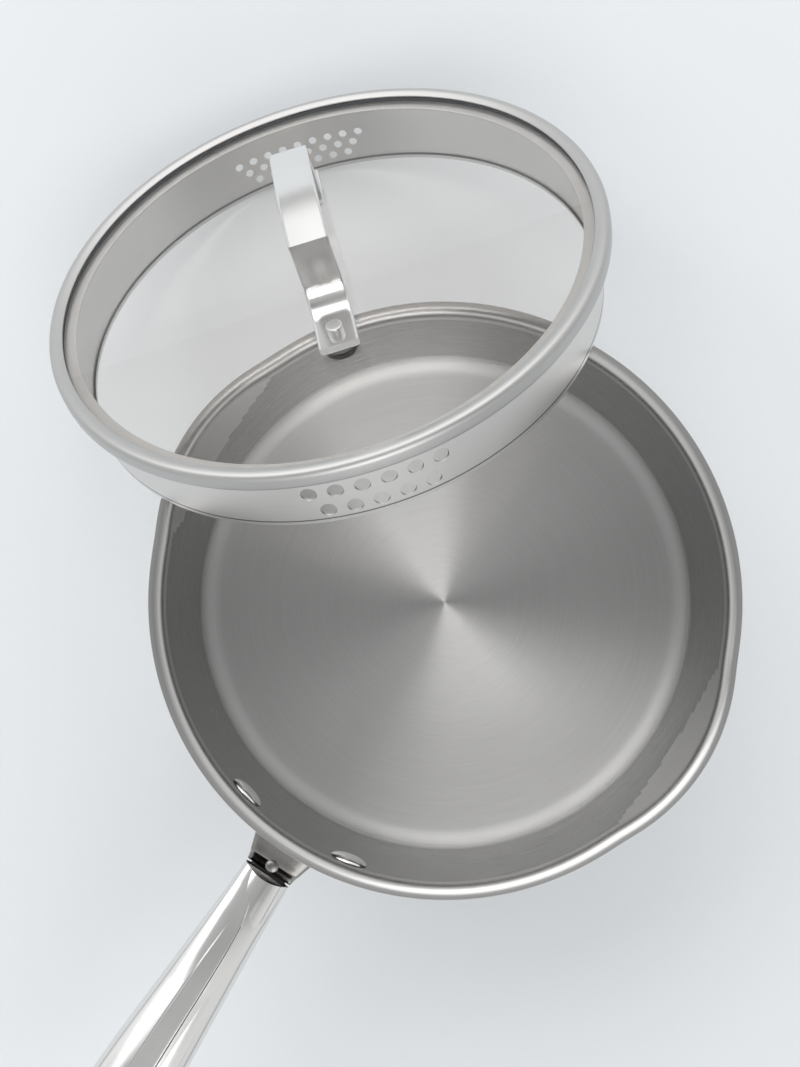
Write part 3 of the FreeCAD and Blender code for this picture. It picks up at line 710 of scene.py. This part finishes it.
def grip_half(name, node, upper):
    """One pressed half of the hollow grip, with its wall, seam and solid hanging end."""
    nose = GRIP_SPAN - NOSE * (1.0 - np.sin(np.linspace(0.0, math.pi / 2.0, 18)))
    stations = sorted(set(np.round(np.concatenate([
        np.linspace(0.0, 40.0, 41), np.linspace(40.0, HOLLOW_END, 44),
        np.linspace(HOLLOW_END, GRIP_SPAN - NOSE, 22), nose]), 4)))
    shares = np.cos(np.linspace(math.pi, 0.0, 49))
    sign = 1.0 if upper else -1.0
    points, rows, columns = [], 0, 0
    for where in stations:
        wide = grip_size(where)[0]
        outer = grip_outer(where, shares, upper)
        back = MOUTH_CURVE * max(1.0 - where / 9.0, 0.0) if upper else 0.0
        at_step = abs(where - HOLLOW_END) < 1e-3
        for hollow in ((True, False) if at_step else (where < HOLLOW_END,)):
            loop = outer + grip_inner(where, shares, hollow)
            columns = len(loop)
            points += [(where + back * (1.0 - (y / wide) ** 2), y, sign * z) for y, z in loop]
            rows += 1
    faces = capped(ring_faces(rows, columns), rows, columns)
    half = outward(make_object(name, points, faces, GRIP_STEEL, 50.0))
    outward(combined(half, hanging_cut(), "DIFFERENCE"))
    crisp(half, 40.0)
    # painted shade: the creases and the flat face that closes the mouth end get near-black steel,
    # in place of the shade in the grooves and the hollow
    with_finish(half, PAINTED_SHADE_STEEL, lambda face: (upper and creased(face))
                or (face.center.x < 4.0 * MM and face.normal.x < -0.6))
    return place(moved(half, GRIP), "pan", "polished_steel", node)


# stations along X, half widths, half heights and levels of the middle
NECK = ((102.2, 106.0, 109.8, 112.8, 114.6, 117.1), (13.9, 12.4, 11.1, 10.2, 9.7, 9.2),
        (6.8, 6.0, 5.2, 4.7, 3.2, 2.6), (82.2, 82.2, 82.3, 82.5, 81.0, 80.4))
TANG = ((116.0, 120.0, 123.0, 128.0, 136.0, 144.0), (7.3, 7.2, 7.1, 7.0, 6.7, 6.4),
        (2.0, 2.2, 3.2, 3.35, 3.25, 3.15), (80.6, 81.2, 83.2, 84.1, 84.9, 85.7))


def tapered_bar(name, table):
    """Closed bar along X whose rounded section follows a table of stations."""
    columns, squareness = 96, 5.0
    stations, widths, heights, levels = table
    places = np.linspace(stations[0], stations[-1], 33)
    points = []
    for x in places:
        wide, tall, level = (smooth_curve(stations, row, x) for row in (widths, heights, levels))
        for column in range(columns):
            angle = 2.0 * math.pi * column / columns
            c, s = math.cos(angle), math.sin(angle)
            power = 2.0 / squareness
            points.append((x, math.copysign(abs(c) ** power, c) * wide,
                           level + math.copysign(abs(s) ** power, s) * tall))
    faces = capped(ring_faces(len(places), columns), len(places), columns)
    return outward(make_object(name, points, faces, SHADED_BRACKET_STEEL, 50.0))


def flange():
    """Plate bent round the pan's wall, with round corners and an eased outer edge."""
    inside, outside = PAN_RADIUS + PAN_SHEET + 0.05, FLANGE_FACE
    reach = math.radians(17.5) * FLANGE_BEND
    outline = rounded([(-reach, FLANGE_LOW, 5.0), (reach, FLANGE_LOW, 5.0),
                       (reach, FLANGE_HIGH, 5.0), (-reach, FLANGE_HIGH, 5.0)], 8)
    outline = divided(outline + outline[:1], 2.0)[:-1]
    middle, tall = (FLANGE_LOW + FLANGE_HIGH) / 2.0, (FLANGE_HIGH - FLANGE_LOW) / 2.0
    layers = ((inside, 0.0), (outside - 0.4, 0.0), (outside - 0.1, 0.25), (outside, 0.7))
    points = []
    for radius, shrink in layers:
        for arc, height in outline:
            angle = arc * (1.0 - shrink / reach) / FLANGE_BEND
            points.append((radius * math.cos(angle), radius * math.sin(angle),
                           middle + (height - middle) * (1.0 - shrink / tall)))
    count = len(outline)
    faces = capped(ring_faces(len(layers), count), len(layers), count)
    plate = make_object("flange", points, faces, SHADED_BRACKET_STEEL, 50.0)
    work = bmesh.new()
    work.from_mesh(plate.data)
    bmesh.ops.triangulate(work, faces=[face for face in work.faces if len(face.verts) > 4])
    bmesh.ops.recalc_face_normals(work, faces=work.faces)
    work.to_mesh(plate.data)
    work.free()
    return plate


def bracket():
    """Riveted flange on the wall and the tapering neck that enters the grip."""
    mount = tapered_bar("handle_mount", NECK)
    combined(mount, tapered_bar("tang", TANG), "UNION")
    combined(mount, flange(), "UNION")
    crisp(mount, 40.0)

    # painted shade: neck faces inside the grip's mouth get near-black steel, standing in for the
    # shade there
    def mouth_shade_face(face):
        across = face.center.y / MM
        return face.center.x > (115.6 + 0.012 * across * across) * MM

    with_finish(mount, PAINTED_SHADE_STEEL, mouth_shade_face)
    return place(mount, "pan", "polished_steel", "handle_bracket")


def rivets():
    """Domed rivets: a polished head inside the pan, a flat tail on the flange."""
    seat = PAN_RADIUS - 0.3
    for name, node, side in (("rivet_left", "handle_rivet_left", 1.0),
                             ("rivet_right", "handle_rivet_right", -1.0)):
        head = [(6.85 * math.sin(t), seat - 2.3 * math.cos(t))
                for t in np.linspace(0.0, math.pi / 2.0, 15)[:-1]]
        profile = head + [(6.85, seat - 0.12), (6.8, seat), (2.95, seat), (2.95, FLANGE_FACE),
                          (6.0, FLANGE_FACE)]
        profile += [(6.0 - 0.7 * t, FLANGE_FACE + 1.4 * math.sin(t * math.pi / 2.0))
                    for t in np.linspace(0.2, 1.0, 6)]
        profile.append((0.0, FLANGE_FACE + 1.6))
        rivet = outward(revolved(name, profile, RIVET_STEEL, 64))
        angle = RIVET_ANGLE * side
        turn = (Matrix.Translation((0.0, 0.0, RIVET_LEVEL * MM)) @ Matrix.Rotation(angle, 4, "Z")
                @ Matrix.Rotation(math.pi / 2.0, 4, "Y"))
        place(moved(rivet, turn), "pan", "polished_steel", node)


def neck_pin():
    """Small domed pin that locks the neck in front of the grip."""
    radius, foot = 2.5, -4.5
    dome = [(radius * math.sin(t), -0.2 + 1.1 * math.cos(t))
            for t in np.linspace(0.0, math.pi / 2.0, 12)]
    pin = revolved("neck_pin", dome + [(radius, foot), (0.0, foot)], SHADED_BRACKET_STEEL, 48)
    moved(outward(pin), Matrix.Translation((114.0 * MM, 0.0, 87.2 * MM)))
    return place(pin, "pan", "polished_steel", "bracket_pin")


# ------------------------------------------------------------------------- lid

def lid_ring():
    """Rolled channel with soft outer edges and a top face that falls to the glass."""
    sheet = 0.8
    profile = rounded([
        (96.2, 0.0, 0.3),
        (RING_RADIUS, 0.0, 1.0),
        (RING_RADIUS, RING_DEPTH - 0.2, 2.2),
        (103.0, RING_DEPTH, 3.0),
        (100.4, RING_DEPTH - 1.0, 0.4),
        (100.6, RING_DEPTH - 1.1 - sheet * 0.2, 0.1),
        (RING_RADIUS - 2.6 * sheet, RING_DEPTH - 0.4 - sheet, 0.3),
        (RING_RADIUS - sheet, RING_DEPTH - 2.4 - sheet, 0.3),
        (RING_RADIUS - sheet, sheet, 0.3),
        (96.2, sheet, 0.3),
    ], 7)
    ring = revolved("lid_ring", profile, RING_STEEL, 320, closed=True, sharp=60.0)
    return place(moved(outward(ring), LID), "lid", "ring_steel", "lid_rim")


def seal():
    """Silicone ring round the edge of the glass, with a narrow shelf under it."""
    profile = rounded([(100.9, 1.0, 0.05), (RING_RADIUS - 1.0, 1.0, 0.2),
                       (RING_RADIUS - 1.0, 5.1, 0.2), (102.9, 5.1, 0.05), (102.9, 1.2),
                       (100.9, 1.2)], 3)
    ring = revolved("seal_ring", profile, BLACK, 256, closed=True)
    return place(moved(outward(ring), LID), "lid_seal", "black_silicone", "glass_seal")


def strap():
    """Arched strap with rounded edges, mitred shoulders and feet that end in a shallow arc."""
    foot = GLASS_TOP + 1.8 + STRAP_SHEET / 2.0
    near_leg = [(-53.0, foot), (-26.4, foot, 11.0), (-26.6, 36.2)]
    half_path = near_leg + [(0.0, 40.2, 110.0)]
    half_path += [(-corner[0], *corner[1:]) for corner in near_leg[::-1]]
    route = np.array(divided(rounded(half_path, 14), 1.2))
    runs = np.diff(route, axis=0)
    runs /= np.linalg.norm(runs, axis=1)[:, None]
    before, after = np.vstack([runs[:1], runs]), np.vstack([runs, runs[-1:]])
    steps = before + after
    steps /= np.linalg.norm(steps, axis=1)[:, None]
    mitre = 1.0 / np.sum(steps * before, axis=1)
    section = rounded([(STRAP_HALF, -1.5, 1.1), (STRAP_HALF, 1.5, 1.1),
                       (-STRAP_HALF, 1.5, 1.1), (-STRAP_HALF, -1.5, 1.1)], 7)
    toe = 14.0
    points = []
    for (x, z), (dx, dz), reach in zip(route, steps, mitre):
        for y, height in section:
            px, pz = x - dz * height * reach, z + dx * height * reach
            if abs(x) > 40.0:
                sag = toe - math.sqrt(toe * toe - y * y)
                share = (abs(x) - 40.0) / 13.0
                px -= math.copysign(sag * share * share, x)
            points.append((px, y, pz))
    columns = len(section)
    faces = capped(ring_faces(len(route), columns), len(route), columns)
    handle = outward(make_object("strap_handle", points, faces, STRAP_STEEL, 55.0))
    return place(moved(handle, LID), "lid", "polished_steel", "lid_handle")


def stud_parts():
    """Stud, clear washer, grey pad and steel washer of each foot."""
    pad_top = GLASS_TOP - 4.0
    pad_low = pad_top - 1.0
    backing_low = pad_low - 0.8
    strap_low = GLASS_TOP + 1.8
    top = strap_low + STRAP_SHEET + 3.0
    stud = rounded([(0.0, backing_low - 1.8), (3.8, backing_low - 1.5, 0.8),
                    (5.0, backing_low, 0.2), (2.6, backing_low), (2.6, strap_low + 3.0),
                    (2.95, strap_low + 3.0), (2.95, top, 0.35), (0.0, top)], 5)
    for end, side in (("near", -1.0), ("far", 1.0)):
        at = LID @ Matrix.Translation((side * STUD_PLACE * MM, 0.0, 0.0))
        piece = revolved(f"stud_{end}", stud, STUD_STEEL, 64)
        place(moved(outward(piece), at), "lid", "polished_steel", f"lid_stud_{end}")
        for name, node, radius, low, high, material, slot in (
                ("glass_washer", "upper_washer", 7.1, GLASS_TOP, strap_low, MILKY,
                 "clear_silicone"),
                ("glass_pad", "lower_washer", 5.6, pad_low, pad_top, GREY, "black_silicone"),
                ("backing", "backing_washer", 6.5, backing_low, pad_low, RING_STEEL, "ring_steel")):
            profile = rounded([(2.65, low, 0.1), (radius, low, 0.3), (radius, high, 0.3),
                               (2.65, high, 0.1)], 4)
            ring = revolved(f"{name}_{end}", profile, material, 72, closed=True)
            place(moved(outward(ring), at), "lid", slot, f"{node}_{end}")


def carried_over():
    """CAD nodes whose shape is already right get their finish here."""
    for node, material in (("lid_glass", GLASS), ("strainer_band", BAND_STEEL),
                           ("base_core", CORE_ALUMINIUM)):
        shown = frame["nodes"][node]
        shown.data.materials.clear()
        shown.data.materials.append(material)


# ------------------------------------------------------- floor, lights, camera

def floor():
    """Plain pale table, larger than any view."""
    half = 4000.0
    points = [(-half, -half, 0.0), (half, -half, 0.0), (half, half, 0.0), (-half, half, 0.0)]
    table = make_object("table", points, [(0, 1, 2, 3)], table_top("pale_table"))


def softbox(name, azimuth, off_zenith, distance, size, radiance):
    """A rectangular lamp facing the pan: compass direction and degrees off straight up."""
    lamp = bpy.data.lights.new(name, "AREA")
    lamp.shape = "RECTANGLE"
    lamp.size, lamp.size_y = size
    lamp.energy = radiance * math.pi * size[0] * size[1]
    light = bpy.data.objects.new(name, lamp)
    bpy.context.scene.collection.objects.link(light)
    around, down = math.radians(azimuth), math.radians(off_zenith)
    place_at = Vector((math.sin(down) * math.cos(around), math.sin(down) * math.sin(around),
                       math.cos(down)))
    light.location = place_at * distance
    light.rotation_euler = place_at.to_track_quat("Z", "Y").to_euler()
    return light


# compass directions in degrees: the ceiling is dark to this side and the opposite one, and the
# whole room is a little duller towards the second
DARK_SIDE = 126.0
DULL_SIDE = 52.0


def studio_world():
    """Pale room light: bright walls and a grey ceiling."""
    world = bpy.data.worlds.new("studio")
    bpy.context.scene.world = world
    world.use_nodes = True
    nodes = Nodes.of_tree(world.node_tree)
    x, y, z = nodes.split(nodes.add("ShaderNodeTexCoord").outputs["Generated"])
    ramp = nodes.add("ShaderNodeValToRGB")
    stops = ((0.0, 0.38), (0.06, 0.42), (0.15, 0.84), (0.30, 0.92), (0.60, 0.92), (0.74, 0.86),
             (0.88, 0.46), (0.955, 0.48), (0.99, 0.42), (1.0, 0.38))
    while len(ramp.color_ramp.elements) < len(stops):
        ramp.color_ramp.elements.new(0.5)
    for element, (position, level) in zip(ramp.color_ramp.elements, stops):
        element.position = position
        element.color = (level, level, level, 1.0)
    nodes.join(z, ramp.inputs["Fac"])

    def toward(azimuth):
        around = math.radians(azimuth)
        return nodes.maths("ADD", nodes.product(x, math.cos(around)),
                           nodes.product(y, math.sin(around)))

    across = nodes.maths("POWER", nodes.maths("ABSOLUTE", toward(DARK_SIDE)), 2.0)
    flat = nodes.maths("MAXIMUM", nodes.maths("SUBTRACT", 1.0, nodes.product(z, z)), 0.03)
    aligned = nodes.maths("POWER", nodes.maths("DIVIDE", across, flat), 3.0)
    ceiling = nodes.product(aligned, nodes.spread(z, 0.0, 0.46, 0.40, 0.65))
    strength = nodes.maths("SUBTRACT", 1.12, ceiling)
    strength = nodes.maths("SUBTRACT", strength, nodes.product(across, 0.22))
    strength = nodes.maths("SUBTRACT", strength, nodes.product(toward(DULL_SIDE), 0.16))
    background = nodes.tree.nodes["Background"]
    nodes.join(ramp.outputs["Color"], background.inputs["Color"])
    nodes.join(strength, background.inputs["Strength"])


def lights():
    """The room, one broad near window, one further fill and a small high lamp."""
    studio_world()
    softbox("window", -120.0, 46.0, 2.6, (3.1, 2.2), 1.16)
    softbox("fill", 47.0, 50.0, 4.5, (2.6, 4.0), 1.75)
    softbox("fill_high", 73.0, 25.0, 4.5, (0.75, 1.4), 1.0)


def camera():
    """Nearly overhead view, turned so that the handle points down to the left."""
    lens = bpy.data.cameras.new("camera")
    lens.sensor_width = 36.0
    lens.lens = 54.0
    view = bpy.data.objects.new("camera", lens)
    bpy.context.scene.collection.objects.link(view)
    turn = Matrix.Rotation(math.radians(-237.0), 4, "Z")
    lean = Vector((0.0510, 0.0320, -0.0020))
    tilt = Matrix.Rotation(lean.length, 4, lean.normalized())
    view.matrix_world = turn @ Matrix.Translation((0.002745, -0.005356, 0.6673)) @ tilt
    bpy.context.scene.camera = view


pan_shell()
base_cup()
grip_half("grip_upper", "handle_upper_shell", True)
grip_half("grip_lower", "handle_lower_shell", False)
bracket()
rivets()
neck_pin()
lid_ring()
seal()
strap()
stud_parts()
carried_over()
floor()
lights()
camera()
bpy.context.scene.view_settings.view_transform = "Standard"
